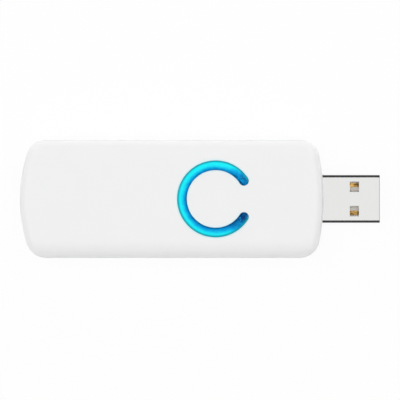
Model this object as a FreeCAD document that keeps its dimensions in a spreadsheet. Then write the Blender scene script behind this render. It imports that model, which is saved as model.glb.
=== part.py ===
"""Smart home USB radio stick, lying on its back with the plug pointing along +X.

Millimetres, +Z up. The origin is on the surface it lies on, under the middle of its bounding box.
Two white shells close on a board that carries the plug, a key switch, three lamps under a
C-shaped light guide, the radio with its aerial and a flat cell."""
import FreeCAD
import Part
import Sketcher

import math
import os
import re

Vector = FreeCAD.Vector
doc = FreeCAD.newDocument("radio_stick")

SIZES = {
    # housing
    "body_length": 75.6,
    "body_width": 29.4,
    "body_height": 12.4,
    "wall": 1.6,
    "corner_radius": 5.0,
    "nose_arc": 55.0,
    "tail_arc": 36.0,
    "flat_half": 10.4,
    "shoulder_radius": 11.0,
    "rim_round": 2.2,
    "parting_height": 6.2,
    "reveal": 0.12,
    "lip_height": 1.2,
    "lip_thick": 0.7,
    "fit_gap": 0.1,
    "bead_radius": 0.35,
    "bead_length": 5.0,
    "bead_pitch": 18.0,
    # board posts and the pins on them
    "post_radius": 1.7,
    "pin_radius": 0.75,
    "pin_rise": 0.8,
    "tail_post_setback": 7.5,
    "tail_post_half": 9.0,
    "nose_post_setback": 9.0,
    "nose_post_half": 10.0,
    # ring slot, key tongue and light guide
    "ring_setback": 26.9,
    "ring_radius": 8.33,
    "ring_width": 2.3,
    "ring_gap_half": 32.5,
    "slot_gap": 0.06,
    "guide_proud": 0.2,
    "guide_bevel": 0.6,
    "flange_thick": 0.9,
    "flange_out": 0.8,
    "ear_reach": 11.2,
    "ear_radius": 1.5,
    "ear_angle": 50.0,
    "stake_radius": 0.55,
    "stake_head": 0.95,
    "stake_drop": 0.4,
    "stake_gap": 0.02,
    "leg_radius": 0.95,
    "leg_angle": 110.0,
    "lamp_air": 0.2,
    "hinge_thick": 0.9,
    "hinge_long": 2.2,
    "nub_radius": 1.5,
    "nub_drop": 0.4,
    "key_air": 0.1,
    # plug
    "plug_reach": 14.2,
    "plug_width": 12.0,
    "plug_height": 4.5,
    "plug_hold": 4.6,
    "plug_axis": 6.2,
    "plug_sheet": 0.3,
    "plug_corner": 0.65,
    "plug_gap": 0.15,
    "window_long": 2.3,
    "window_wide": 2.6,
    "window_setback": 5.2,
    "window_spacing": 6.1,
    "seam_gap": 0.08,
    "shell_tab_setback": 2.6,
    "shell_tab_long": 1.8,
    "shell_tab_wide": 2.2,
    "tongue_thick": 1.9,
    "tongue_setback": 0.9,
    "cavity_depth": 9.3,
    "insulator_gap": 0.05,
    "insulator_tail": 1.2,
    "contact_wide": 1.0,
    "contact_thick": 0.25,
    "contact_sink": 0.15,
    "contact_tail": 3.2,
    "power_setback": 1.6,
    "data_setback": 2.6,
    "power_pitch": 7.0,
    "data_pitch": 2.0,
    "cradle_half": 4.5,
    # circuit board and what stands on it
    "board_thick": 1.0,
    "board_gap": 0.5,
    "switch_side": 6.0,
    "switch_height": 2.4,
    "switch_floor": 0.9,
    "switch_well": 2.3,
    "frame_thick": 0.2,
    "plunger_radius": 1.75,
    "plunger_flange": 2.05,
    "plunger_collar": 0.5,
    "plunger_air": 0.1,
    "plunger_travel": 0.25,
    "stem_radius": 1.0,
    "dome_rise": 0.35,
    "dome_thick": 0.08,
    "leg_wide": 0.7,
    "leg_thick": 0.2,
    "leg_out": 1.3,
    "lamp_long": 3.2,
    "lamp_wide": 2.8,
    "lamp_high": 1.1,
    "module_setback": 9.2,
    "module_side": 14.0,
    "module_thick": 0.8,
    "can_long": 12.0,
    "can_wide": 10.4,
    "can_high": 1.8,
    "can_sheet": 0.2,
    "aerial_setback": 4.0,
    "aerial_long": 4.2,
    "aerial_wide": 0.8,
    "aerial_bar_count": 9,
    "aerial_thick": 0.3,
    "aerial_rise": 2.4,
    # packages on the board
    "ring_row": 12.9,
    "nose_row": 13.2,
    "bridge_side": 5.0,
    "bridge_high": 0.9,
    "bridge_y": 5.2,
    "crystal_long": 3.2,
    "crystal_wide": 2.5,
    "crystal_high": 0.8,
    "crystal_y": -0.2,
    "memory_long": 5.0,
    "memory_wide": 3.9,
    "memory_high": 1.5,
    "memory_y": 6.4,
    "small_chip_long": 2.9,
    "small_chip_wide": 1.6,
    "small_chip_high": 1.1,
    "charger_y": -7.0,
    "regulator_y": -6.2,
    "coil_side": 4.0,
    "coil_high": 2.0,
    "coil_y": -1.4,
    "lead_pitch": 1.27,
    "lead_reach": 0.9,
    "fine_pitch": 0.95,
    "fine_reach": 0.7,
    "lead_wide": 0.4,
    "lead_thick": 0.25,
    "lead_lap": 0.1,
    "small_part_long": 1.6,
    "small_part_wide": 0.8,
    "capacitor_high": 0.8,
    "capacitor_row": 10.1,
    "capacitor_y": -4.5,
    "capacitor_pitch": 2.2,
    "resistor_high": 0.45,
    "resistor_row": 16.6,
    "resistor_y": -8.6,
    "resistor_pitch": 1.8,
    # cell
    "cell_setback": 11.5,
    "cell_long": 24.0,
    "cell_wide": 17.0,
    "cell_thick": 2.8,
    "cell_round": 0.9,
    "pad_inset": 2.0,
    "pad_thick": 0.3,
    "guard_long": 3.0,
    "guard_wide": 12.0,
    "guard_thick": 0.8,
    "tab_half": 3.5,
    "tab_wide": 2.5,
    "tab_thick": 0.2,
    "tab_lap": 1.5,
    "tab_rise": 2.0,
}

# Places and lengths that follow from the sizes.
PLACES = {
    "tail_x": "-(body_length + plug_reach) / 2",
    "nose_x": "(body_length - plug_reach) / 2",
    "tip_x": "(body_length + plug_reach) / 2",
    "ring_x": "nose_x - ring_setback",
    "plug_low": "plug_axis - plug_height / 2",
    "plug_top": "plug_axis + plug_height / 2",
    "plug_length": "plug_reach + plug_hold",
    "plug_rear": "nose_x - plug_hold",
    "tongue_low": "plug_low + plug_sheet",
    "tongue_top": "tongue_low + tongue_thick",
    "contact_low": "tongue_top - contact_sink",
    "board_top": "contact_low",
    "board_low": "board_top - board_thick",
    "lamp_top": "board_top + lamp_high",
    "well_floor": "board_top + switch_floor",
    "switch_top": "board_top + switch_height",
    "plunger_top": "body_height - wall - nub_drop - key_air",
    "guide_inset": "wall + slot_gap",
    "flange_inset": "guide_inset + flange_thick",
    "ring_inner": "ring_radius - ring_width / 2",
    "ring_outer": "ring_radius + ring_width / 2",
    "lip_inset": "wall - lip_thick",
    "cell_x": "tail_x + cell_setback",
    "cell_low": "wall + pad_thick",
    "guard_x": "cell_x + cell_long",
    "guard_low": "cell_low + cell_thick / 2 - guard_thick / 2",
    "module_x": "tail_x + module_setback",
    "aerial_x": "tail_x + aerial_setback",
}


def refer(expression):
    """The expression with each size and place spelled as a reference to its sheet or set."""
    def spelled(match):
        word = match.group(0)
        if word in SIZES:
            return "Sizes." + word
        if word in PLACES:
            return "Places." + word
        return word
    return re.sub(r"[A-Za-z_]\w*", spelled, str(expression))


def bind(thing, **expressions):
    for name, expression in expressions.items():
        thing.setExpression(name.replace("__", "."), refer(expression))
    return thing


def make_sheet():
    sheet = doc.addObject("Spreadsheet::Sheet", "Sizes")
    for row, (alias, value) in enumerate(SIZES.items(), start=1):
        sheet.set(f"A{row}", str(value))
        sheet.setAlias(f"A{row}", alias)
    doc.recompute()
    return sheet


def make_places():
    places = doc.addObject("App::VarSet", "Places")
    for name, expression in PLACES.items():
        places.addProperty("App::PropertyFloat", name, "Places")
        places.setExpression(name, refer(expression))
    doc.recompute()
    return places


sizes = make_sheet()
places = make_places()


def number(word):
    """The present value of one size or place."""
    return getattr(sizes if word in SIZES else places, word)


def place(thing, x="0", y="0", z="0"):
    bind(thing, Placement__Base__x=x, Placement__Base__y=y, Placement__Base__z=z)
    return thing


def box(name, x, y, z, long, wide, high):
    """A block from its lowest corner."""
    thing = doc.addObject("Part::Box", name)
    bind(thing, Length=long, Width=wide, Height=high)
    return place(thing, x, y, z)


def mid_box(name, x, z, long, wide, high, y="0"):
    """A block that starts at x and z and is centred on y."""
    return box(name, x, f"{y} - ({wide}) / 2", z, long, wide, high)


def rod(name, x, y, z, radius, high):
    thing = doc.addObject("Part::Cylinder", name)
    bind(thing, Radius=radius, Height=high)
    return place(thing, x, y, z)


def cut(name, base, tool):
    thing = doc.addObject("Part::Cut", name)
    thing.Base, thing.Tool = base, tool
    return thing


def common(name, base, tool):
    thing = doc.addObject("Part::Common", name)
    thing.Base, thing.Tool = base, tool
    return thing


def fuse(name, *shapes):
    thing = doc.addObject("Part::MultiFuse", name)
    thing.Shapes = list(shapes)
    return thing


def group(name, *shapes):
    """Separate solids that are kept as one node."""
    thing = doc.addObject("Part::Compound", name)
    thing.Links = list(shapes)
    return thing


TURNS = {
    "XY_Plane": FreeCAD.Rotation(),
    "YZ_Plane": FreeCAD.Rotation(Vector(1, 1, 1), 120),
    "XZ_Plane": FreeCAD.Rotation(Vector(1, 0, 0), 90),
}
NORMAL_AXIS = {"XY_Plane": "z", "YZ_Plane": "x", "XZ_Plane": "y"}


def sketch(name, role, height="0", owner=None):
    """A sketch on one of the main planes, moved along that plane's row axis to height."""
    if owner is None:
        made = doc.addObject("Sketcher::SketchObject", name)
        made.Placement = FreeCAD.Placement(Vector(), TURNS[role])
        made.setExpression("Placement.Base." + NORMAL_AXIS[role], refer(height))
        return made
    made = owner.newObject("Sketcher::SketchObject", name)
    plane = [f for f in owner.Origin.OriginFeatures if f.Role == role][0]
    made.AttachmentSupport = [(plane, "")]
    made.MapMode = "FlatFace"
    sign = "-1 * " if role == "XZ_Plane" else ""
    made.setExpression("AttachmentOffset.Base.z", refer(f"{sign}({height})"))
    return made


def hold(made, kind, *where, to=None, start=None):
    """Adds a constraint. start is its first value and to the expression that it then follows."""
    values = [] if start is None else [start]
    index = made.addConstraint(Sketcher.Constraint(kind, *where, *values))
    if to is not None:
        made.setExpression(f"Constraints[{index}]", refer(to))


def line(made, x1, y1, x2, y2):
    return made.addGeometry(Part.LineSegment(Vector(x1, y1, 0), Vector(x2, y2, 0)), False)


def arc(made, x, y, radius, first, last):
    """A counter-clockwise arc between two angles in radians."""
    circle = Part.Circle(Vector(x, y, 0), Vector(0, 0, 1), radius)
    return made.addGeometry(Part.ArcOfCircle(circle, first, last), False)


def circle(made, x, y, radius):
    """A circle whose centre and radius follow expressions."""
    index = made.addGeometry(Part.Circle(Vector(1, 1, 0), Vector(0, 0, 1), 1), False)
    hold(made, "DistanceX", -1, 1, index, 3, start=1, to=x)
    hold(made, "DistanceY", -1, 1, index, 3, start=1, to=y)
    hold(made, "Radius", index, start=1, to=radius)


def polygon(made, points):
    """A closed outline of straight lines through points given as pairs of expressions."""
    count = len(points)
    for k in range(count):
        a, b = 2 * math.pi * k / count, 2 * math.pi * (k + 1) / count
        line(made, math.cos(a), math.sin(a), math.cos(b), math.sin(b))
    first = made.GeometryCount - count
    for k, (x, y) in enumerate(points):
        after = first + (k + 1) % count
        hold(made, "Coincident", first + k, 2, after, 1)
        hold(made, "DistanceX", -1, 1, first + k, 1, start=1, to=x)
        hold(made, "DistanceY", -1, 1, first + k, 1, start=1, to=y)


def rounded_rectangle(made, half_wide, middle, half_high, radius, room):
    """A rectangle with round corners, centred on the local y axis at height middle.

    room holds the rough half width, half height, radius and middle that the solver starts from."""
    turn = math.pi / 2
    first = made.GeometryCount
    w, h, r, m = room
    arcs = [(w - r, h - r, 0), (r - w, h - r, 1), (r - w, r - h, 2), (w - r, r - h, 3)]
    for x, y, quarter in arcs:
        arc(made, x, m + y, r, quarter * turn, (quarter + 1) * turn)
    line(made, w - r, m + h, r - w, m + h)
    line(made, -w, m + h - r, -w, m + r - h)
    line(made, r - w, m - h, w - r, m - h)
    line(made, w, m + r - h, w, m + h - r)
    for k in range(4):
        hold(made, "Tangent", first + k, 2, first + 4 + k, 1)
        hold(made, "Tangent", first + 4 + k, 2, first + (k + 1) % 4, 1)
    for side in (4, 6):
        hold(made, "Horizontal", first + side)
    for side in (5, 7):
        hold(made, "Vertical", first + side)
    hold(made, "DistanceX", -1, 1, first + 7, 1, start=w, to=half_wide)
    hold(made, "DistanceX", -1, 1, first + 5, 1, start=-w, to=f"-({half_wide})")
    hold(made, "DistanceY", -1, 1, first + 4, 1, start=m + h, to=f"{middle} + {half_high}")
    hold(made, "DistanceY", -1, 1, first + 6, 1, start=m - h, to=f"{middle} - ({half_high})")
    hold(made, "Radius", first, start=r, to=radius)
    for k in range(1, 4):
        hold(made, "Equal", first, first + k)


def housing_outline(made, inset):
    """The housing seen from above, moved in by inset: two straight sides and two bowed ends."""
    half = number("body_width") / 2 - 1
    nose, tail = number("nose_arc"), number("tail_arc")
    radius = number("corner_radius")
    corner_y = half - radius
    nose_c, tail_c = number("nose_x") - nose, number("tail_x") + tail
    nose_x = nose_c + math.sqrt((nose - radius) ** 2 - corner_y ** 2)
    tail_x = tail_c - math.sqrt((tail - radius) ** 2 - corner_y ** 2)
    a = math.atan2(corner_y, nose_x - nose_c)
    b = math.atan2(corner_y, tail_c - tail_x)
    line(made, tail_x, -half, nose_x, -half)
    arc(made, nose_x, -corner_y, radius, -math.pi / 2, -a)
    arc(made, nose_c, 0, nose, -a, a)
    arc(made, nose_x, corner_y, radius, a, math.pi / 2)
    line(made, nose_x, half, tail_x, half)
    arc(made, tail_x, corner_y, radius, math.pi / 2, math.pi - b)
    arc(made, tail_c, 0, tail, math.pi - b, math.pi + b)
    arc(made, tail_x, -corner_y, radius, math.pi + b, 1.5 * math.pi)
    for k in range(8):
        hold(made, "Tangent", k, 2, (k + 1) % 8, 1)
    hold(made, "Horizontal", 0)
    hold(made, "Horizontal", 4)
    hold(made, "PointOnObject", 2, 3, -1)
    hold(made, "PointOnObject", 6, 3, -1)
    hold(made, "DistanceX", -1, 1, 2, 3, start=nose_c, to="nose_x - nose_arc")
    hold(made, "DistanceX", -1, 1, 6, 3, start=tail_c, to="tail_x + tail_arc")
    hold(made, "Radius", 2, start=nose, to=f"nose_arc - ({inset})")
    hold(made, "Radius", 6, start=tail, to=f"tail_arc - ({inset})")
    hold(made, "Radius", 1, start=radius, to=f"corner_radius - ({inset})")
    for k in (3, 5, 7):
        hold(made, "Equal", 1, k)
    hold(made, "DistanceY", -1, 1, 0, 1, start=-half, to=f"-(body_width / 2 - ({inset}))")
    hold(made, "DistanceY", -1, 1, 4, 1, start=half, to=f"body_width / 2 - ({inset})")


def top_outline(made, inset, far):
    """The top in cross section, moved in by inset: a flat between two shoulders, closed at height far."""
    half, shoulder = number("flat_half"), number("shoulder_radius")
    reach = number("body_width") / 2 + 1
    centre_z = number("body_height") - shoulder
    end = math.acos((reach - half) / shoulder)
    end_z = centre_z + shoulder * math.sin(end)
    high = centre_z + shoulder
    far_z = high + 5
    arc(made, half, centre_z, shoulder, end, math.pi / 2)
    line(made, half, high, -half, high)
    arc(made, -half, centre_z, shoulder, math.pi / 2, math.pi - end)
    line(made, -reach, end_z, -reach, far_z)
    line(made, -reach, far_z, reach, far_z)
    line(made, reach, far_z, reach, end_z)
    hold(made, "Tangent", 0, 2, 1, 1)
    hold(made, "Tangent", 1, 2, 2, 1)
    for a, b in ((2, 3), (3, 4), (4, 5), (5, 0)):
        hold(made, "Coincident", a, 2, b, 1)
    hold(made, "Vertical", 3)
    hold(made, "Vertical", 5)
    hold(made, "Horizontal", 1)
    hold(made, "Horizontal", 4)
    hold(made, "Radius", 0, start=shoulder, to=f"shoulder_radius - ({inset})")
    hold(made, "Equal", 0, 2)
    hold(made, "DistanceY", -1, 1, 1, 1, start=high, to=f"body_height - ({inset})")
    hold(made, "DistanceX", -1, 1, 0, 3, start=half, to="flat_half")
    hold(made, "DistanceX", -1, 1, 2, 3, start=-half, to="-flat_half")
    hold(made, "DistanceX", -1, 1, 0, 1, start=reach, to="body_width / 2 + 1")
    hold(made, "DistanceX", -1, 1, 2, 2, start=-reach, to="-(body_width / 2 + 1)")
    hold(made, "DistanceY", -1, 1, 3, 2, start=far_z, to=far)


def ring_outline(made, inner, outer):
    """A C open towards the nose, with round ends: two arcs about the ring's centre and two caps."""
    radius, gap = number("ring_radius"), math.radians(number("ring_gap_half"))
    x = number("ring_x")
    low, high = radius - 1, radius + 1
    cap_x, cap_y = x + radius * math.cos(gap), radius * math.sin(gap)
    around = 2 * math.pi - gap
    arc(made, x, 0, high, gap, around)
    arc(made, cap_x, -cap_y, 1, around, around + math.pi)
    arc(made, x, 0, low, gap, around)
    arc(made, cap_x, cap_y, 1, gap - math.pi, gap)
    hold(made, "Tangent", 0, 2, 1, 1)
    hold(made, "Tangent", 1, 2, 2, 2)
    hold(made, "Tangent", 2, 1, 3, 1)
    hold(made, "Tangent", 3, 2, 0, 1)
    hold(made, "Coincident", 0, 3, 2, 3)
    hold(made, "PointOnObject", 0, 3, -1)
    hold(made, "DistanceX", -1, 1, 0, 3, start=x, to="ring_x")
    hold(made, "Radius", 0, start=high, to=outer)
    hold(made, "Radius", 2, start=low, to=inner)
    cap_at = f"ring_x + (({inner}) + ({outer})) / 2 * cos(ring_gap_half)"
    hold(made, "DistanceX", -1, 1, 1, 3, start=cap_x, to=cap_at)
    hold(made, "DistanceX", -1, 1, 3, 3, start=cap_x, to=cap_at)


def prism(name, made, length):
    """A solid drawn from a sketch along its plane's row axis."""
    thing = doc.addObject("Part::Extrusion", name)
    thing.Base = made
    thing.DirMode = "Normal"
    thing.Solid = True
    return bind(thing, LengthFwd=length)


def outline_prism(name, inset, low, high):
    made = sketch(name + "_outline", "XY_Plane", low)
    housing_outline(made, inset)
    return prism(name, made, f"({high}) - ({low})")


def ring_prism(name, inner, outer):
    """A C-shaped wall that runs from the surface below to above the housing."""
    made = sketch(name + "_outline", "XY_Plane", "wall")
    ring_outline(made, inner, outer)
    return prism(name, made, "body_height")


def under_top(name, inset):
    """All the room below the top moved in by inset."""
    made = sketch(name + "_outline", "YZ_Plane", "tail_x - wall")
    top_outline(made, inset, "-wall")
    return prism(name, made, "body_length + plug_reach + 2 * wall")


def pad(owner, made, length, **settings):
    thing = owner.newObject("PartDesign::Pad", made.Name + "_pad")
    thing.Profile = made
    for key, value in settings.items():
        setattr(thing, key, value)
    return bind(thing, Length=length)


def pocket(owner, made, length, **settings):
    thing = owner.newObject("PartDesign::Pocket", made.Name + "_pocket")
    thing.Profile = made
    for key, value in settings.items():
        setattr(thing, key, value)
    return bind(thing, Length=length)


def edge_names(shape, wanted):
    """Names of the edges whose every sampled point passes the test."""
    names = []
    for index, edge in enumerate(shape.Edges, start=1):
        first, last = edge.FirstParameter, edge.LastParameter
        points = [edge.valueAt(first + (last - first) * k / 4) for k in range(5)]
        if all(wanted(p) for p in points):
            names.append(f"Edge{index}")
    return names


def housing_block(name, inset, rim_radius=None):
    """The housing's form moved in by inset: outline and shouldered top, with rounded rims if asked."""
    body = doc.addObject("PartDesign::Body", name)
    plan = sketch(name + "_plan", "XY_Plane", inset, body)
    housing_outline(plan, inset)
    pad(body, plan, f"body_height - 2 * ({inset}) + 1")
    section = sketch(name + "_top", "YZ_Plane", "0", body)
    top_outline(section, inset, "body_height + 5")
    last = pocket(body, section, "3 * body_length", Midplane=True)
    doc.recompute()
    if rim_radius is None:
        return body
    middle, lowest = number("parting_height"), body.Shape.BoundBox.ZMin
    flat_half = number("flat_half")

    def on_rim(p):
        return p.z > middle or p.z < lowest + 1e-4

    def on_shoulder(p):
        return p.z > middle and abs(abs(p.y) - flat_half) < 1e-4

    shoulders = edge_names(body.Shape, on_shoulder)
    rims = [edge for edge in edge_names(body.Shape, on_rim) if edge not in shoulders]
    fillet = body.newObject("PartDesign::Fillet", name + "_rim")
    fillet.Base = (last, rims)
    bind(fillet, Radius=rim_radius)
    body.Tip = fillet
    doc.recompute()
    return body


def posts(name, low, high, radius, setbacks=("tail", "nose")):
    """Four round posts, two near the tail and two near the nose."""
    made = []
    for end in setbacks:
        x = "tail_x + tail_post_setback" if end == "tail" else "nose_x - nose_post_setback"
        for sign, side in (("", "left"), ("-", "right")):
            y = f"{sign}{end}_post_half"
            made.append(rod(f"{name}_{end}_{side}", x, y, low, radius, f"({high}) - ({low})"))
    return made


def beads(name, radius, extra):
    """Snap beads along both long sides of the lip, or the pockets that they click into."""
    made = []
    for sign, side in (("", "left"), ("-", "right")):
        for step in (-1, 1):
            bead = doc.addObject("Part::Cylinder", f"{name}_{side}_{step + 2}")
            bind(bead, Radius=radius, Height=f"bead_length + 2 * ({extra})")
            bead.Placement = FreeCAD.Placement(Vector(), FreeCAD.Rotation(Vector(0, 1, 0), 90))
            middle = "(tail_x + nose_x) / 2"
            place(bead, f"{middle} + {step} * bead_pitch - bead_length / 2 - ({extra})",
                  f"{sign}(body_width / 2 - lip_inset)", "parting_height + lip_height / 2")
            made.append(bead)
    return made


def make_housing():
    """Both shells, cut from one hollow form at the parting plane."""
    outer = housing_block("outer_form", "0", "rim_round")
    hollow = housing_block("hollow_form", "wall")
    whole = cut("whole_shell", outer, hollow)

    opening_sketch = sketch("plug_opening_outline", "YZ_Plane", "nose_x - 2 * wall")
    rounded_rectangle(opening_sketch, "plug_width / 2 + plug_gap", "plug_axis",
                      "plug_height / 2 + plug_gap", "plug_corner + plug_gap",
                      (6, 2.4, 0.8, number("plug_axis")))
    opening = prism("plug_opening", opening_sketch, "4 * wall")

    reveal_out = outline_prism("reveal_out", "-1", "parting_height - reveal", "parting_height + reveal")
    reveal_in = outline_prism("reveal_in", "1.2 * reveal", "parting_height - reveal",
                              "parting_height + reveal")
    reveal = cut("reveal_groove", reveal_out, reveal_in)

    long = "body_length + 2 * plug_reach"
    lower_half = mid_box("lower_half", "tail_x - wall", "-wall", long, "2 * body_width",
                         "parting_height + wall")
    upper_half = mid_box("upper_half", "tail_x - wall", "parting_height", long, "2 * body_width",
                         "body_height")

    make_bottom(common("lower_shell", whole, lower_half), opening, reveal)
    make_top(outer, common("upper_shell", whole, upper_half), opening, reveal)


def make_bottom(shell, opening, reveal):
    """Lower shell: floor, locating lip with snap beads, board posts, cell ribs and plug cradle."""
    lip_low, lip_high = "parting_height - wall", "parting_height + lip_height"
    lip_out = outline_prism("lip_out", "lip_inset", lip_low, lip_high)
    lip_in = outline_prism("lip_in", "wall", f"{lip_low} - 1", f"{lip_high} + 1")
    lip = cut("lip_ring", lip_out, lip_in)
    lip_with_beads = fuse("lip_with_beads", lip, *beads("bead", "bead_radius", "0"))
    shell_with_lip = fuse("lower_with_lip", shell, lip_with_beads)
    opened = cut("lower_opened", shell_with_lip, opening)
    supports = posts("stand", "wall / 2", "board_low", "post_radius")
    pins = posts("pin", "board_low - 1", "board_top + pin_rise", "pin_radius")
    cradle = mid_box("lower_cradle", "plug_rear + 0.6", "wall / 2", "nose_x - wall / 2 - plug_rear - 0.6",
                     "2 * cradle_half", "plug_low - wall / 2")
    ribs = []
    for sign, side in (("", "left"), ("-", "right")):
        ribs.append(mid_box(f"cell_rib_{side}", "cell_x + cell_long / 4", "wall / 2", "cell_long / 2",
                            "wall / 2", "wall / 2 + cell_thick / 2",
                            f"{sign}(cell_wide / 2 + 2 * fit_gap + wall / 4)"))
    inside = fuse("lower_inside", *supports, *pins, cradle, *ribs)
    joined = fuse("lower_joined", opened, inside)
    cut("bottom_cover", joined, reveal)


def make_top(outer, shell, opening, reveal):
    """Upper shell: lip rebate and snap pockets, clamp posts, C slot, key tongue, hinge and stakes."""
    rebate = outline_prism("rebate", "lip_inset - fit_gap", "parting_height - 1",
                           "parting_height + lip_height + fit_gap")
    pockets = fuse("snap_pockets", *beads("pocket", "bead_radius + fit_gap", "2 * fit_gap"))
    opened = cut("upper_opened", shell, fuse("upper_cuts", rebate, pockets, opening, reveal))

    high = "body_height + 1"
    clamps = posts("clamp", "board_top", high, "post_radius")
    nub = rod("key_nub", "ring_x", "0", "plunger_top + key_air", "nub_radius",
              f"{high} - plunger_top - key_air")
    cradle = mid_box("upper_cradle", "plug_rear + 0.6", "plug_top", "nose_x - wall / 2 - plug_rear - 0.6",
                     "2 * cradle_half", "body_height - plug_top")
    inside = common("upper_inside", fuse("upper_features", *clamps, nub, cradle, make_stakes()), outer)
    joined = fuse("upper_joined", opened, inside)

    sockets = posts("socket", "board_top - 1", "board_top + pin_rise + fit_gap", "pin_radius + fit_gap")
    slot = ring_prism("ring_slot", "ring_inner - slot_gap", "ring_outer + slot_gap")
    groove_box = mid_box("hinge_box", "ring_x + ring_outer - hinge_long / 2", "board_top + 1",
                         "hinge_long", "2 * ring_radius * sin(ring_gap_half) + ring_width",
                         "body_height")
    groove = common("hinge_groove", groove_box, under_top("hinge_roof", "hinge_thick"))
    cut("top_cover", joined, fuse("upper_slots", *sockets, slot, groove))


def make_stakes():
    """Melted pins that hold the light guide's ears: stems through the ears and heads below them."""
    stems, heads = [], []
    for name, x, y in ear_spots():
        stems.append(rod(f"stake_{name}", x, y, "board_top", "stake_radius", "body_height"))
        heads.append(rod(f"stake_head_{name}", x, y, "board_top", "stake_head", "body_height"))
    under_ears = under_top("stake_ceiling", "flange_inset + stake_gap")
    below_heads = under_top("stake_floor", "flange_inset + stake_gap + stake_drop")
    melted = common("stake_heads", fuse("stake_heads_long", *heads), under_ears)
    return cut("stakes", fuse("stakes_long", *stems, melted), below_heads)


def ear_spots():
    """Where the light guide is staked: one ear behind the ring and two beside its open ends."""
    return [
        ("rear", "ring_x - ear_reach", "0"),
        ("left", "ring_x + ear_reach * cos(ear_angle)", "ear_reach * sin(ear_angle)"),
        ("right", "ring_x + ear_reach * cos(ear_angle)", "-ear_reach * sin(ear_angle)"),
    ]


def lamp_spots():
    """Three lamps spread round the back of the ring."""
    side = "ring_radius * sin(leg_angle)"
    return [
        ("1", "ring_x + ring_radius * cos(leg_angle)", side),
        ("2", "ring_x - ring_radius", "0"),
        ("3", "ring_x + ring_radius * cos(leg_angle)", f"-{side}"),
    ]


def make_light_guide():
    """C-shaped light guide: bevelled band in the slot, flange and ears under the cover, three legs."""
    ceiling = under_top("guide_ceiling", "guide_inset")
    below = under_top("guide_below", "flange_inset")
    band = common("guide_band", ring_prism("band_wall", "ring_inner", "ring_outer"),
                  under_top("guide_skin", "-guide_proud"))
    flange = ring_prism("flange_wall", "ring_inner + flange_out / 4", "ring_outer + flange_out")
    ears = [rod(f"ear_{name}", x, y, "wall", "ear_radius", "body_height") for name, x, y in ear_spots()]
    flange_top = common("guide_flange", fuse("flange_and_ears", flange, *ears), ceiling)
    plate = cut("guide_plate", fuse("guide_upper", band, flange_top), below)
    legs = [rod(f"guide_leg_{name}", x, y, "lamp_top + lamp_air", "leg_radius",
                "body_height - wall - lamp_top - flange_thick") for name, x, y in lamp_spots()]
    legs_cut = common("guide_legs", fuse("guide_legs_long", *legs), ceiling)
    holes = [rod(f"ear_hole_{name}", x, y, "wall", "stake_radius + fit_gap", "body_height")
             for name, x, y in ear_spots()]
    blank = cut("guide_blank", fuse("guide_joined", plate, legs_cut), fuse("ear_holes", *holes))
    doc.recompute()
    skin = number("body_height") + number("guide_proud")

    def on_skin(p):
        return abs(p.z - skin) < 1e-3

    thing = doc.addObject("Part::Chamfer", "light_guide")
    thing.Base = blank
    slope = number("guide_bevel")
    names = edge_names(blank.Shape, on_skin)
    thing.Edges = [(int(name[4:]), slope, slope) for name in names]


def make_plug():
    """USB-A plug: folded shell with windows and seam, insulator and four contacts."""
    body = doc.addObject("PartDesign::Body", "shell_tube")
    profile = sketch("shell_profile", "YZ_Plane", "plug_rear", body)
    middle = number("plug_axis")
    rounded_rectangle(profile, "plug_width / 2", "plug_axis", "plug_height / 2", "plug_corner",
                      (6, 2.2, 0.6, middle))
    rounded_rectangle(profile, "plug_width / 2 - plug_sheet", "plug_axis",
                      "plug_height / 2 - plug_sheet", "plug_corner - plug_sheet", (5.7, 1.9, 0.3, middle))
    pad(body, profile, "plug_length")

    windows = []
    for sign, side in (("", "left"), ("-", "right")):
        windows.append(mid_box(f"window_{side}", "tip_x - window_setback - window_long",
                               "plug_low - 1", "window_long", "window_wide", "plug_height + 2",
                               f"{sign}window_spacing / 2"))
    seam = mid_box("shell_seam", "plug_rear - 1", "plug_low - 1", "plug_length + 2", "seam_gap",
                   "1 + 2 * plug_sheet")
    tabs = mid_box("shell_tabs", "nose_x - shell_tab_setback - shell_tab_long", "board_top",
                   "shell_tab_long", "plug_width + 2 * shell_tab_wide", "plug_sheet")
    tabs_room = mid_box("shell_tabs_room", "plug_rear - 1", "plug_low", "plug_length + 2",
                        "plug_width - plug_sheet", "plug_height")
    tabs_outside = cut("shell_tabs_outside", tabs, tabs_room)
    cut("plug_shell", fuse("shell_with_tabs", body, tabs_outside), fuse("shell_cuts", *windows, seam))

    wide = "plug_width - 2 * plug_sheet - 2 * insulator_gap"
    tongue = mid_box("insulator_tongue", "plug_rear - insulator_tail", "tongue_low",
                     "plug_length + insulator_tail - tongue_setback", wide, "tongue_thick")
    block = mid_box("insulator_block", "plug_rear - insulator_tail", "tongue_low",
                    "plug_length + insulator_tail - cavity_depth", wide,
                    "plug_height - 2 * plug_sheet - insulator_gap")
    grooves = []
    spots = [("1", "power_pitch / 2", "power_setback"), ("2", "data_pitch / 2", "data_setback"),
             ("3", "-data_pitch / 2", "data_setback"), ("4", "-power_pitch / 2", "power_setback")]
    for name, y, setback in spots:
        grooves.append(mid_box(f"contact_groove_{name}", "plug_rear - insulator_tail - 1", "contact_low",
                               f"plug_length + insulator_tail + 1 - ({setback}) + insulator_gap",
                               "contact_wide + insulator_gap", "contact_thick + insulator_gap", y))
    inside = sketch("insulator_room_outline", "YZ_Plane", "plug_rear - insulator_tail - 1")
    rounded_rectangle(inside, "plug_width / 2 - plug_sheet - insulator_gap", "plug_axis",
                      "plug_height / 2 - plug_sheet - insulator_gap", "plug_corner - plug_sheet",
                      (5.6, 1.9, 0.3, middle))
    room = prism("insulator_room", inside, "plug_length + insulator_tail + 2")
    blank = common("insulator_blank", fuse("insulator_blocks", tongue, block), room)
    cut("plug_insulator", blank, fuse("contact_grooves", *grooves))
    for name, y, setback in spots:
        make_contact(f"plug_contact_{name}", y, setback)


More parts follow.
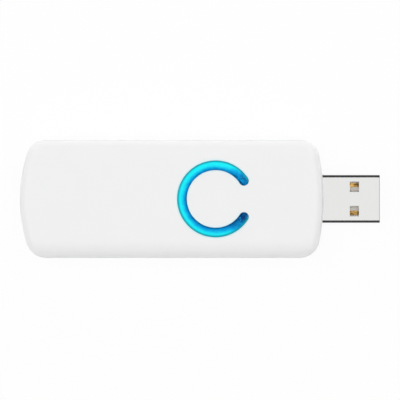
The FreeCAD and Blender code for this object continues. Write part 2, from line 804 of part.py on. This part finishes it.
def make_contact(name, y, setback):
    """One spring strip: its nose dips into the tongue and its tail lies on the board."""
    body = doc.addObject("PartDesign::Body", name)
    side = sketch(name + "_side", "XZ_Plane", y, body)
    front = f"tip_x - {setback}"
    rear = "plug_rear - insulator_tail - contact_tail"
    low, high = "contact_low", "contact_low + contact_thick"
    polygon(side, [(rear, low), (front, low), (front, f"{low} + contact_thick / 3"),
                   (f"{front} - contact_thick", high), (rear, high)])
    pad(body, side, "contact_wide", Midplane=True)


def make_board():
    """Green circuit board that follows the housing, notched round the plug, with its holes."""
    body = doc.addObject("PartDesign::Body", "circuit_board")
    plan = sketch("board_plan", "XY_Plane", "board_low", body)
    housing_outline(plan, "wall + board_gap")
    pad(body, plan, "board_thick")
    holes = sketch("board_holes", "XY_Plane", "board_low", body)
    notch_x, notch_y = "plug_rear - insulator_tail - fit_gap", "plug_width / 2 + fit_gap"
    polygon(holes, [(notch_x, f"-({notch_y})"), ("tip_x", f"-({notch_y})"), ("tip_x", notch_y),
                    (notch_x, notch_y)])
    for x, y in (("tail_x + tail_post_setback", "tail_post_half"),
                 ("nose_x - nose_post_setback", "nose_post_half")):
        circle(holes, x, y, "pin_radius + fit_gap / 2")
        circle(holes, x, f"-{y}", "pin_radius + fit_gap / 2")
    circle(holes, "aerial_x + aerial_long + aerial_thick / 2", "(aerial_bar_count - 1) * aerial_wide",
           "aerial_wide / 2 + fit_gap")
    pocket(body, holes, "board_thick", Reversed=True)


def revolved(name, points, x, y="0"):
    """A solid turned about an upright axis at x, y, from radius and height pairs."""
    body = doc.addObject("PartDesign::Body", name)
    profile = sketch(name + "_profile", "XZ_Plane", "0", body)
    polygon(profile, points)
    turned = body.newObject("PartDesign::Revolution", name + "_turn")
    turned.Profile = profile
    turned.ReferenceAxis = (profile, ["V_Axis"])
    turned.Angle = 360
    place(body, x, y)
    return body


def make_switch():
    """Key switch under the tongue: base, four legs, snap dome, plunger and steel frame."""
    half = "switch_side / 2"
    block = mid_box("switch_block", f"ring_x - {half}", "board_top", "switch_side", "switch_side",
                    "switch_height")
    well = rod("switch_bore", "ring_x", "0", "well_floor", "switch_well", "switch_height")
    cut("switch_base", block, well)

    frame = mid_box("frame_plate", f"ring_x - {half}", "switch_top", "switch_side", "switch_side",
                    "frame_thick")
    hole = rod("frame_hole", "ring_x", "0", "switch_top - 1", "plunger_radius + plunger_air", "3")
    cut("switch_frame", frame, hole)

    revolved("switch_plunger", [
        ("0", "well_floor + dome_thick + dome_rise"),
        ("stem_radius", "well_floor + dome_thick + dome_rise"),
        ("stem_radius", "switch_top - plunger_collar"),
        ("plunger_flange", "switch_top - plunger_collar"),
        ("plunger_flange", "switch_top - fit_gap / 4"),
        ("plunger_radius", "switch_top - fit_gap / 4"),
        ("plunger_radius", "plunger_top"),
        ("0", "plunger_top")], "ring_x")

    edge, skirt, low = "switch_well - fit_gap", "switch_well / 3", "well_floor"
    revolved("switch_dome", [
        (edge, low),
        (edge, f"{low} + dome_thick"),
        (skirt, f"{low} + dome_rise + dome_thick"),
        ("0", f"{low} + dome_rise + dome_thick"),
        ("0", f"{low} + dome_rise"),
        (skirt, f"{low} + dome_rise")], "ring_x")
    legs = []
    for sx, end in (("", "nose"), ("-", "tail")):
        for sy, side in (("", "left"), ("-", "right")):
            x = f"ring_x + {sx}(switch_side / 2 + leg_out / 2) - leg_out / 2"
            legs.append(mid_box(f"switch_leg_{end}_{side}", x, "board_top", "leg_out", "leg_wide",
                                "leg_thick", f"{sy}switch_side * 3 / 8"))
    group("switch_terminals", *legs)


def make_lamps():
    """Three lamps on the board under the light guide's legs, each with a round cup."""
    for name, x, y in lamp_spots():
        block = mid_box(f"lamp_block_{name}", f"{x} - lamp_long / 2", "board_top", "lamp_long",
                        "lamp_wide", "lamp_high", y)
        cup = doc.addObject("Part::Cone", f"lamp_cup_{name}")
        bind(cup, Radius1="lamp_wide / 2 - 0.6", Radius2="lamp_wide / 2 - 0.3", Height="lamp_high / 3")
        place(cup, x, y, "lamp_top - lamp_high / 3")
        cut(f"ring_lamp_{name}", block, cup)


def make_radio():
    """Radio module under its can, and the aerial across the tail."""
    mid_box("radio_module", "module_x", "board_top", "module_side", "module_side", "module_thick")
    top = "board_top + module_thick"
    can_x = "module_x + (module_side - can_long) / 2"
    can = mid_box("can_block", can_x, top, "can_long", "can_wide", "can_high")
    inside = mid_box("can_hollow", f"{can_x} + can_sheet", f"{top} - 1", "can_long - 2 * can_sheet",
                     "can_wide - 2 * can_sheet", "can_high + 1 - can_sheet")
    cut("radio_shield", can, inside)

    make_aerial()


def make_aerial():
    """Stamped aerial across the tail: a plate with slots from both sides, on two legs."""
    body = doc.addObject("PartDesign::Body", "aerial_plate")
    plan = sketch("aerial_plan", "XY_Plane", "board_top + aerial_rise", body)
    front, back, half = "aerial_x + aerial_long", "aerial_x", "(aerial_bar_count - 0.5) * aerial_wide"
    polygon(plan, [(back, f"-({half})"), (front, f"-({half})"), (front, half), (back, half)])
    pad(body, plan, "aerial_thick")
    slots = sketch("aerial_slots", "XY_Plane", "board_top + aerial_rise", body)
    for k in range(int(number("aerial_bar_count")) - 1):
        low = f"{2 * k + 1} * aerial_wide - ({half})"
        high = f"{2 * k + 2} * aerial_wide - ({half})"
        x1, x2 = (f"{back} - 1", f"{front} - aerial_wide") if k % 2 else (f"{back} + aerial_wide",
                                                                          f"{front} + 1")
        polygon(slots, [(x1, low), (x2, low), (x2, high), (x1, high)])
    pocket(body, slots, "aerial_thick", Reversed=True)
    leg = ("aerial_thick", "aerial_wide")
    feed = mid_box("aerial_feed", front, "board_low - aerial_thick", *leg,
                   "board_thick + aerial_rise + 2 * aerial_thick", f"({half} - aerial_wide / 2)")
    ground = mid_box("aerial_ground", front, "board_top", *leg, "aerial_rise + aerial_thick",
                     f"-({half} - aerial_wide / 2)")
    fuse("aerial", body, feed, ground)


def chip(name, x, y, long, wide, high, legs=0, pitch="lead_pitch", reach="lead_reach"):
    """A moulded package. With legs, it has that many a side, spread along its length."""
    block = mid_box(name + "_block", f"{x} - {long} / 2", "board_top", long, wide, high, y)
    if not legs:
        block.Label = name
        return block
    made = [block]
    for sign, side in (("+", "left"), ("-", "right")):
        for k in range(legs):
            at = f"{x} + {k - (legs - 1) / 2} * {pitch} - lead_wide / 2"
            made.append(mid_box(f"{name}_leg_{side}_{k}", at, "board_top", "lead_wide", reach,
                                "lead_thick", f"{y} {sign} ({wide} / 2 + {reach} / 2 - lead_lap)"))
    return fuse(name, *made)


def make_chips():
    """The board's other parts: bridge, memory, charger, regulator, coil, crystal and small parts."""
    tail_row, nose_row = "ring_x - ring_row", "nose_x - nose_row"
    small = ("small_chip_long", "small_chip_wide", "small_chip_high", 3, "fine_pitch", "fine_reach")
    chip("bridge_chip", nose_row, "bridge_y", "bridge_side", "bridge_side", "bridge_high")
    chip("crystal", nose_row, "crystal_y", "crystal_long", "crystal_wide", "crystal_high")
    chip("memory_chip", tail_row, "memory_y", "memory_long", "memory_wide", "memory_high", 4)
    chip("charger_chip", tail_row, "charger_y", *small)
    chip("regulator_chip", nose_row, "regulator_y", *small)
    chip("power_inductor", tail_row, "coil_y", "coil_side", "coil_side", "coil_high")
    capacitors, resistors = [], []
    size = ("small_part_long", "small_part_wide")
    for k in range(4):
        capacitors.append(mid_box(f"capacitor_{k}", "nose_x - capacitor_row - small_part_long / 2",
                                  "board_top", *size, "capacitor_high",
                                  f"capacitor_y + {k} * capacitor_pitch"))
        resistors.append(mid_box(f"resistor_{k}", "ring_x - resistor_row - small_part_long / 2",
                                 "board_top", *size, "resistor_high",
                                 f"resistor_y + {k} * resistor_pitch"))
    group("capacitors", *capacitors)
    group("resistors", *resistors)


def make_cell():
    """Flat cell on its adhesive pad, its guard board and two straps up to the circuit board."""
    mid_box("cell_pad", "cell_x + pad_inset", "wall", "cell_long - 2 * pad_inset",
            "cell_wide - 2 * pad_inset", "pad_thick")
    body = doc.addObject("PartDesign::Body", "cell")
    end = sketch("cell_end", "YZ_Plane", "cell_x", body)
    rounded_rectangle(end, "cell_wide / 2", "cell_low + cell_thick / 2", "cell_thick / 2", "cell_round",
                      (8, 1.4, 0.8, number("cell_low") + number("cell_thick") / 2))
    pad(body, end, "cell_long")
    mid_box("cell_guard", "guard_x", "guard_low", "guard_long", "guard_wide", "guard_thick")
    make_tab("tab_plus", "tab_half")
    make_tab("tab_minus", "-tab_half")


def make_tab(name, y):
    """A nickel strap from the guard board: along it, up past its edge, then along under the board."""
    body = doc.addObject("PartDesign::Body", name)
    side = sketch(name + "_side", "XZ_Plane", y, body)
    low, high, thick = "guard_low + guard_thick", "board_low - tab_thick", "tab_thick"
    begin, bend, end = "guard_x + tab_lap", "guard_x + guard_long", "guard_x + guard_long + tab_rise"
    polygon(side, [(begin, low), (bend, low), (end, high), (f"{end} + tab_lap", high),
                   (f"{end} + tab_lap", f"{high} + {thick}"), (f"{end} - {thick} / 3", f"{high} + {thick}"),
                   (f"{bend} - {thick} / 3", f"{low} + {thick}"), (begin, f"{low} + {thick}")])
    pad(body, side, "tab_wide", Midplane=True)


NODES = [
    "top_cover", "bottom_cover", "light_guide",
    "plug_shell", "plug_insulator", "plug_contact_1", "plug_contact_2", "plug_contact_3", "plug_contact_4",
    "circuit_board",
    "switch_base", "switch_frame", "switch_plunger", "switch_dome", "switch_terminals",
    "ring_lamp_1", "ring_lamp_2", "ring_lamp_3",
    "radio_module", "radio_shield", "aerial",
    "bridge_chip", "crystal", "memory_chip", "charger_chip", "regulator_chip", "power_inductor",
    "capacitors", "resistors",
    "cell_pad", "cell", "cell_guard", "tab_plus", "tab_minus",
]


def export():
    """Checks every object and writes each node to its own file."""
    doc.recompute()
    failed = [o.Name for o in doc.Objects if "Invalid" in o.State or "Error" in o.State]
    if failed:
        raise RuntimeError(f"these objects failed: {failed}")
    os.makedirs("parts", exist_ok=True)
    labelled = {o.Label: o for o in doc.Objects}
    for node in NODES:
        shape = labelled[node].Shape
        if shape.isNull() or not shape.isValid() or not shape.Solids:
            raise RuntimeError(f"{node} has no valid solid")
        shape.exportStep(f"parts/{node}.step")
        bounds = shape.BoundBox
        print(f"{node}: {len(shape.Solids)} solid, {shape.Volume:.1f} mm3, "
              f"x {bounds.XMin:.2f} {bounds.XMax:.2f}, y {bounds.YMin:.2f} {bounds.YMax:.2f}, "
              f"z {bounds.ZMin:.2f} {bounds.ZMax:.2f}")


make_housing()
make_light_guide()
make_plug()
make_board()
make_switch()
make_lamps()
make_radio()
make_chips()
make_cell()
export()
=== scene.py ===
"""Looks of the USB radio stick: satin white shells, a lit blue ring and a nickel plug, seen from above."""
import math

import bpy
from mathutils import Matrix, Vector


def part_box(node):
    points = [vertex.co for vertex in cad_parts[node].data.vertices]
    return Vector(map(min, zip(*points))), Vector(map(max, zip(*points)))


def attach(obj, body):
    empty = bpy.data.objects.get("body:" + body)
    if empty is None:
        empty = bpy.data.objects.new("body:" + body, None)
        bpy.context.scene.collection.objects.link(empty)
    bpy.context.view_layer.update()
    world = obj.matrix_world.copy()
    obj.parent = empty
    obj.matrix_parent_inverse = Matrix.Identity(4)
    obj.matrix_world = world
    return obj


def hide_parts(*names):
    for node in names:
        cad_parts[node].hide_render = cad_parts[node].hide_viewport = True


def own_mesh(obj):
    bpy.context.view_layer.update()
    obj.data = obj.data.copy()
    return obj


MM = 0.001
DEGREE = math.pi / 180

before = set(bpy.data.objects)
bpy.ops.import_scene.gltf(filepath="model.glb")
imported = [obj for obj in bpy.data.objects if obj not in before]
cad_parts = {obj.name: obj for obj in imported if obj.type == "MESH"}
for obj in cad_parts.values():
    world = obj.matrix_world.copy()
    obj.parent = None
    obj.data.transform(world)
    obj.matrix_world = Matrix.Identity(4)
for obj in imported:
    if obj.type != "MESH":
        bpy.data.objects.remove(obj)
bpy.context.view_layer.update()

# the lit ring goes round the key switch, with a tip at this angle on either side of the plug's direction
key_low, key_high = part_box("switch_plunger")
ring_x = (key_low.x + key_high.x) / 2
ring_radius = 8.33 * MM
ring_width = 2.3 * MM
ring_tip_angle = 32 * DEGREE

# half the width of the plug's shell outside the housing
plug_half_width = 6 * MM

# a point inside the stick that every lamp faces
aim_point = Vector((0, 0, 8 * MM))


class Wire:
    """A shader node's output that can be used in sums, with plain numbers on either side."""

    def __init__(self, tree, socket):
        self.tree, self.socket = tree, socket

    def made(self, kind, settings=None, sockets=None, out=0):
        """One output of a new node of any kind in this wire's tree."""
        return Wire(self.tree, add_node(self.tree, kind, settings, sockets).outputs[out])

    def worked(self, operation, *values):
        """A Math node's result from wires or numbers."""
        return self.made("ShaderNodeMath", {"operation": operation}, dict(enumerate(values)))

    def __add__(self, other):
        return self.worked("ADD", self, other)

    def __radd__(self, other):
        return self.worked("ADD", other, self)

    def __sub__(self, other):
        return self.worked("SUBTRACT", self, other)

    def __rsub__(self, other):
        return self.worked("SUBTRACT", other, self)

    def __mul__(self, other):
        return self.worked("MULTIPLY", self, other)

    def __rmul__(self, other):
        return self.worked("MULTIPLY", other, self)

    def __truediv__(self, other):
        return self.worked("DIVIDE", self, other)

    def __rtruediv__(self, other):
        return self.worked("DIVIDE", other, self)

    def __pow__(self, other):
        return self.worked("POWER", self, other)

    def __abs__(self):
        return self.worked("ABSOLUTE", self)

    def or_more(self, other):
        """The larger of the two."""
        return self.worked("MAXIMUM", self, other)

    def ramp(self, low, high):
        """0 below low and 1 above high, with a soft change between. It falls where high is the lower."""
        if low > high:
            return 1 - self.ramp(high, low)
        return self.made("ShaderNodeMapRange", {"interpolation_type": "SMOOTHSTEP"},
                         {"Value": self, "From Min": low, "From Max": high})

    def between(self, dark, light):
        """A colour between two, by this wire from 0 to 1."""
        return self.made("ShaderNodeMix", {"data_type": "RGBA"}, {0: self, 6: dark, 7: light}, out=2)

    def split(self):
        """The x, y and z of this place or direction."""
        parts = add_node(self.tree, "ShaderNodeSeparateXYZ", sockets={0: self})
        return [Wire(self.tree, part) for part in parts.outputs]


def add_node(tree, kind, settings=None, sockets=None):
    """A new node of any kind. Its settings go in first, and then the values or wires of its sockets."""
    node = tree.nodes.new(kind)
    for key, value in (settings or {}).items():
        setattr(node, key, value)
    for key, value in (sockets or {}).items():
        feed(tree, node.inputs[key], value)
    return node


def feed(tree, socket, value):
    """Joins a wire to a socket, or sets the socket to a number, colour or vector."""
    if isinstance(value, Wire):
        tree.links.new(value.socket, socket)
    elif socket.type == "RGBA":
        socket.default_value = (*value, 1)
    else:
        socket.default_value = value


def srgb(red, green, blue):
    """A colour given as a screen shows it, from 0 to 255, in the shader's own scale."""
    def linear(level):
        level /= 255
        return level / 12.92 if level < 0.04045 else ((level + 0.055) / 1.055) ** 2.4
    return linear(red), linear(green), linear(blue)


class Paint:
    """A material with its main shader, and the places on the object that its patterns use."""

    def __init__(self, name, **constants):
        self.material = bpy.data.materials.new(name)
        self.material.use_nodes = True
        self.tree = self.material.node_tree
        self.shader = self.tree.nodes["Principled BSDF"]
        self.set(**constants)
        self.place = Wire(self.tree, add_node(self.tree, "ShaderNodeTexCoord").outputs["Object"])
        self.x, self.y, self.z = self.place.split()

    def set(self, **values):
        """Feeds sockets of the main shader, with an underscore for each blank in a socket's name."""
        for name, value in values.items():
            feed(self.tree, self.shader.inputs[name.replace("_", " ")], value)

    def noise(self, size, detail=2.0, stretch=(1, 1, 1)):
        """Cloudy noise from 0 to 1 with lumps of that size in metres, drawn out by stretch."""
        scale = tuple(1 / s for s in stretch)
        place = self.place.made("ShaderNodeMapping", sockets={"Vector": self.place, "Scale": scale})
        return place.made("ShaderNodeTexNoise",
                          sockets={"Vector": place, "Scale": 1 / size, "Detail": detail})

    def bump(self, height, depth):
        """Raises the surface by height times depth in metres."""
        sockets = {"Height": height, "Distance": depth, "Strength": 1.0}
        self.set(Normal=height.made("ShaderNodeBump", sockets=sockets))


def around_ring(paint):
    """Where a place is across the ring's band, 0 to 1 outwards, and its angle on from the nearer tip."""
    x, y = paint.x - ring_x, paint.y
    across = ((x * x + y * y) ** 0.5 - (ring_radius - ring_width / 2)) / ring_width
    from_tip = abs(y.worked("ARCTAN2", y, x)) - ring_tip_angle
    return across, from_tip


def satin_white():
    """Housing plastic: white with a fine moulded texture, and a little of the ring's glow painted on as a
    cyan tint beside it.
    """
    paint = Paint("satin white plastic", IOR=1.5, Specular_IOR_Level=0.5)
    cloud, grain = paint.noise(9 * MM), paint.noise(0.12 * MM, 3)
    white = (cloud * 0.6 + grain * 0.4).between((0.885, 0.885, 0.89), (0.915, 0.915, 0.92))

    # painted glow: a cyan tint on the top face next to the ring, standing in for the ring's light on the
    # white
    across, from_tip = around_ring(paint)
    off_ring = abs(across - 0.5) - 0.5
    beside_ring = off_ring.ramp(0.32, -0.05) * from_tip.ramp(-7 * DEGREE, 2 * DEGREE)
    top_face = paint.z.ramp(9 * MM, 10 * MM)
    painted_ring_glow = beside_ring * top_face * 0.75

    paint.set(Base_Color=painted_ring_glow.between(white, srgb(202, 246, 252)),
              Roughness=0.28 + cloud * 0.05 + grain * 0.06)
    paint.bump(grain, 0.003 * MM)
    return paint.material


def lit_blue():
    """Ring plastic, glowing, with its light and shade painted: cyan outside, deep blue shade along its
    inner edge and at its two ends, and a teal rim of painted shade.
    """
    paint = Paint("lit blue ring", Emission_Strength=0.25, Specular_IOR_Level=0.06, Roughness=0.3)
    across, from_tip = around_ring(paint)
    to_left = paint.y / ring_radius

    # light fades inwards and towards the tips, and is a little stronger on the left half
    light_at_tip = 0.28 + to_left * 0.08
    along = light_at_tip + (1 - light_at_tip) * from_tip.ramp(2 * DEGREE, 46 * DEGREE)
    glow = (0.3 + 0.95 * across) * along + to_left * 0.09

    # the tips are cloudier than the rest and have small painted glints
    cloud = paint.noise(1.1 * MM, 3) - 0.5
    cloudiness = 0.3 + 0.6 * from_tip.ramp(24 * DEGREE, 8 * DEGREE)
    painted_glints = paint.noise(0.4 * MM, 1).ramp(0.56, 0.68) * from_tip.ramp(22 * DEGREE, 6 * DEGREE)
    glow = glow + cloud * cloudiness + painted_glints * 0.25

    deep = glow.ramp(0.0, 0.6).between(srgb(0, 52, 112), srgb(4, 160, 228))
    bright = glow.ramp(0.45, 0.95).between(deep, srgb(26, 240, 252))
    # a teal rim of painted shade along the ring's outer edge, where it meets the slot
    colour = (across.ramp(0.73, 0.93) * 0.88).between(bright, srgb(36, 172, 184))
    dimmed = colour.made("ShaderNodeMix", {"data_type": "RGBA", "blend_type": "MULTIPLY"},
                         {0: 1.0, 6: colour, 7: (0.78, 0.78, 0.78)}, out=2)
    paint.set(Base_Color=dimmed, Emission_Color=colour)
    paint.bump(paint.noise(0.5 * MM), 0.004 * MM)
    return paint.material


def nickel_sheet():
    """Plug shell: nickel drawn lengthwise in fine lines, with painted dark reflections along its bends and
    painted shade along its tip.
    """
    paint = Paint("nickel plated sheet", Metallic=1.0)
    lines = paint.noise(0.07 * MM, 3, (60, 1, 1))
    cloud = paint.noise(4 * MM)
    bright = (lines * 0.5 + cloud * 0.5).between((0.695, 0.695, 0.69), (0.75, 0.75, 0.74))

    # painted reflection and shade: the rounded bends are darkened as if mirroring a dark room, and a dark
    # line of painted shade runs along the tip's edge
    low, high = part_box("plug_shell")
    in_from_side = plug_half_width - abs(paint.y)
    in_from_face = (high.z - low.z) / 2 - abs(paint.z - (high.z + low.z) / 2)
    painted_bend_reflection = in_from_side.ramp(0.36 * MM, 0.22 * MM) * in_from_face.ramp(0.6 * MM, 0.4 * MM)
    tip = (high.x - paint.x).ramp(0.22 * MM, 0.1 * MM) * 0.6
    painted_dark_edges = painted_bend_reflection.or_more(tip)

    paint.set(Base_Color=painted_dark_edges.between(bright, (0.12, 0.12, 0.125)),
              Roughness=0.09 + lines * 0.06 + cloud * 0.04)
    paint.bump(lines, 0.0003 * MM)
    return paint.material


def gold_plate():
    """Plug contacts: gold plate, browner where it is worn."""
    paint = Paint("gold plate", Metallic=1.0)
    fresh = paint.noise(0.6 * MM, 3, (2, 1, 1))
    paint.set(Base_Color=fresh.ramp(0.36, 0.62).between(srgb(126, 84, 34), srgb(230, 188, 112)),
              Roughness=0.22 + fresh * 0.15)
    return paint.material


def speckled(name, dark, light, size, roughness, depth=0.0, **constants):
    """A plain material whose tone and gloss wander between two limits over lumps of that size."""
    paint = Paint(name, **constants)
    cloud, grain = paint.noise(size), paint.noise(size / 14, 3)
    paint.set(Base_Color=(cloud * 0.65 + grain * 0.35).between(dark, light),
              Roughness=roughness + cloud * 0.08 + grain * 0.06)
    if depth:
        paint.bump(grain, depth)
    return paint.material


def dress_nodes():
    """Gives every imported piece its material, with smooth shading across gentle bends."""
    white, blue, nickel, gold = satin_white(), lit_blue(), nickel_sheet(), gold_plate()
    cream = speckled("cream insulator", srgb(244, 238, 226), srgb(252, 248, 240), 1.5 * MM, 0.4)
    green = speckled("green solder mask", srgb(10, 66, 36), srgb(18, 92, 50), 6 * MM, 0.35, 0.003 * MM,
                     Coat_Weight=0.3)
    teal = speckled("blue solder mask", srgb(10, 50, 78), srgb(18, 68, 100), 6 * MM, 0.35, 0.003 * MM)
    black = speckled("black moulding", srgb(26, 26, 28), srgb(40, 40, 43), 1.2 * MM, 0.5, 0.004 * MM)
    steel = speckled("stamped steel", (0.6, 0.6, 0.6), (0.72, 0.72, 0.71), 1.5 * MM, 0.25, Metallic=1.0)
    pearl = speckled("lamp body", srgb(236, 236, 226), srgb(248, 248, 240), 1.2 * MM, 0.3)
    tan = speckled("fired ceramic", srgb(150, 120, 84), srgb(176, 144, 104), 0.8 * MM, 0.45)
    grey = speckled("ferrite", srgb(58, 58, 62), srgb(78, 78, 82), 1 * MM, 0.6, 0.006 * MM)
    foil = speckled("foil pouch", (0.62, 0.63, 0.65), (0.74, 0.75, 0.76), 5 * MM, 0.3, 0.01 * MM,
                    Metallic=1.0)
    foam = speckled("adhesive foam", srgb(30, 30, 32), srgb(48, 48, 50), 0.6 * MM, 0.8, 0.02 * MM)
    finish = {
        "top_cover": white, "bottom_cover": white, "light_guide": blue,
        "plug_shell": nickel, "plug_insulator": cream,
        "circuit_board": green, "cell_guard": green, "radio_module": teal,
        "switch_base": black, "switch_plunger": black, "switch_frame": steel, "switch_dome": steel,
        "switch_terminals": steel, "radio_shield": steel, "crystal": steel, "aerial": gold,
        "capacitors": tan, "power_inductor": grey, "cell": foil, "cell_pad": foam,
        "tab_plus": steel, "tab_minus": steel,
    }
    for name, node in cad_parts.items():
        # chips and resistors aren't listed, and are black
        material = finish.get(name, black)
        if name.startswith("plug_contact"):
            material = gold
        if name.startswith("ring_lamp"):
            material = pearl
        node.data.materials.clear()
        node.data.materials.append(material)
        crease = 50 * DEGREE if name == "light_guide" else 35 * DEGREE
        node.data.shade_smooth()
        node.data.set_sharp_from_angle(angle=crease)


def snap_dome():
    """The key switch's spring dome, copied out of the packed piece into its own mesh and carried by the
    stick's body.
    """
    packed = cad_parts["switch_dome"]
    dome = bpy.data.objects.new("snap_dome", packed.data.copy())
    bpy.context.collection.objects.link(dome)
    dome.matrix_world = packed.matrix_world
    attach(dome, "stick")
    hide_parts("switch_dome")
    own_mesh(dome)


def seen_directly(tree):
    """1 for what the camera sees, straight, mirrored or through clear things, and 0 for light on parts."""
    path = add_node(tree, "ShaderNodeLightPath")
    straight, mirrored, through = (Wire(tree, path.outputs[f"Is {ray} Ray"])
                                   for ray in ("Camera", "Glossy", "Transmission"))
    return straight.or_more(mirrored).or_more(through)


def mix_in_white(tree, shader, kind, output, share):
    """Lays plain white of strength 1 over a floor's or sky's own shader, as much of it as share says."""
    white = add_node(tree, kind, sockets={"Color": (1, 1, 1)})
    shaders = {1: Wire(tree, shader.outputs[0]), 2: Wire(tree, white.outputs[0])}
    mix = add_node(tree, "ShaderNodeMixShader", sockets={0: share, **shaders})
    feed(tree, tree.nodes[output].inputs[0], Wire(tree, mix.outputs[0]))


def lay_floor():
    """A pale floor that is nearly pure white to the camera and in metal, and keeps a faint shadow."""
    bpy.ops.mesh.primitive_plane_add(size=3)
    floor = bpy.context.object
    floor.name = "floor"
    paint = Paint("white floor", Roughness=0.9, Specular_IOR_Level=0.0)
    paint.set(Base_Color=paint.noise(60 * MM).between((0.90, 0.90, 0.90), (0.93, 0.93, 0.93)))
    floor.data.materials.append(paint.material)
    white_share = 0.93
    mix_in_white(paint.tree, paint.shader, "ShaderNodeEmission", "Material Output",
                 seen_directly(paint.tree) * white_share)


def hang_sky():
    """A sky of bright panels high up, with a dark gap to the left and the right, and a white horizon."""
    world = bpy.data.worlds.new("sky")
    bpy.context.scene.world = world
    world.use_nodes = True
    tree = world.node_tree
    direction = Wire(tree, add_node(tree, "ShaderNodeTexCoord").outputs["Generated"])
    ahead, aside, height = direction.split()

    # the panels are less bright right overhead, and the polished plug shows the gaps as dark edges
    panels = height.ramp(0.66, 0.78) * (1 - height.ramp(0.93, 0.985) * 0.42)
    gap = abs(ahead).ramp(0.32, 0.18) * abs(aside).ramp(0.12, 0.22)
    low_sky, gap_sky = 0.09, 0.025
    light = (low_sky + panels * (1 - low_sky)) * (1 - gap) + gap * gap_sky

    shade = tree.nodes["Background"]
    feed(tree, shade.inputs["Color"], light.between((0, 0, 0), (1, 1, 1)))
    feed(tree, shade.inputs["Strength"], 1.8)
    horizon = height.ramp(0.21, 0.14)
    mix_in_white(tree, shade, "ShaderNodeBackground", "World Output", seen_directly(tree) * horizon)


def softbox(name, place, size, watts):
    """A soft rectangular lamp that faces the stick, and that doesn't show in polished metal."""
    lamp = bpy.data.lights.new(name, "AREA")
    lamp.shape = "RECTANGLE"
    lamp.size, lamp.size_y = size
    lamp.energy = watts
    holder = bpy.data.objects.new(name, lamp)
    bpy.context.collection.objects.link(holder)
    holder.location = place
    holder.rotation_euler = (aim_point - holder.location).to_track_quat("-Z", "Y").to_euler()
    holder.visible_glossy = False


def hang_lamps():
    """One soft lamp overhead and four low ones around the stick, each at an angle on from the plug."""
    softbox("light_top", (0, 0, 0.8), (0.5, 0.5), 1.23)
    reach, rise, low_size = 0.58, 0.16, (0.5, 0.25)
    for name, degrees, watts in (("light_back", 95, 0.7), ("light_tail", 170, 0.65),
                                 ("light_nose", 42, 0.8), ("light_front", -90, 0.5)):
        turn = degrees * DEGREE
        softbox(name, (reach * math.cos(turn), reach * math.sin(turn), rise), low_size, watts)


def set_camera():
    """A camera straight above, as far off as makes the picture this wide at the plug's level."""
    shown_width, plug_level = 100.3 * MM, 7.5 * MM
    camera = bpy.data.objects.new("camera", bpy.data.cameras.new("camera"))
    bpy.context.collection.objects.link(camera)
    camera.data.lens, camera.data.sensor_width = 135, 36
    distance = shown_width * camera.data.lens / camera.data.sensor_width
    # the stick lies a little off the middle of the picture
    camera.location = (-0.06 * MM, -0.27 * MM, plug_level + distance)
    bpy.context.scene.camera = camera
    bpy.context.scene.view_settings.view_transform = "Standard"


dress_nodes()
snap_dome()
lay_floor()
hang_sky()
hang_lamps()
set_camera()
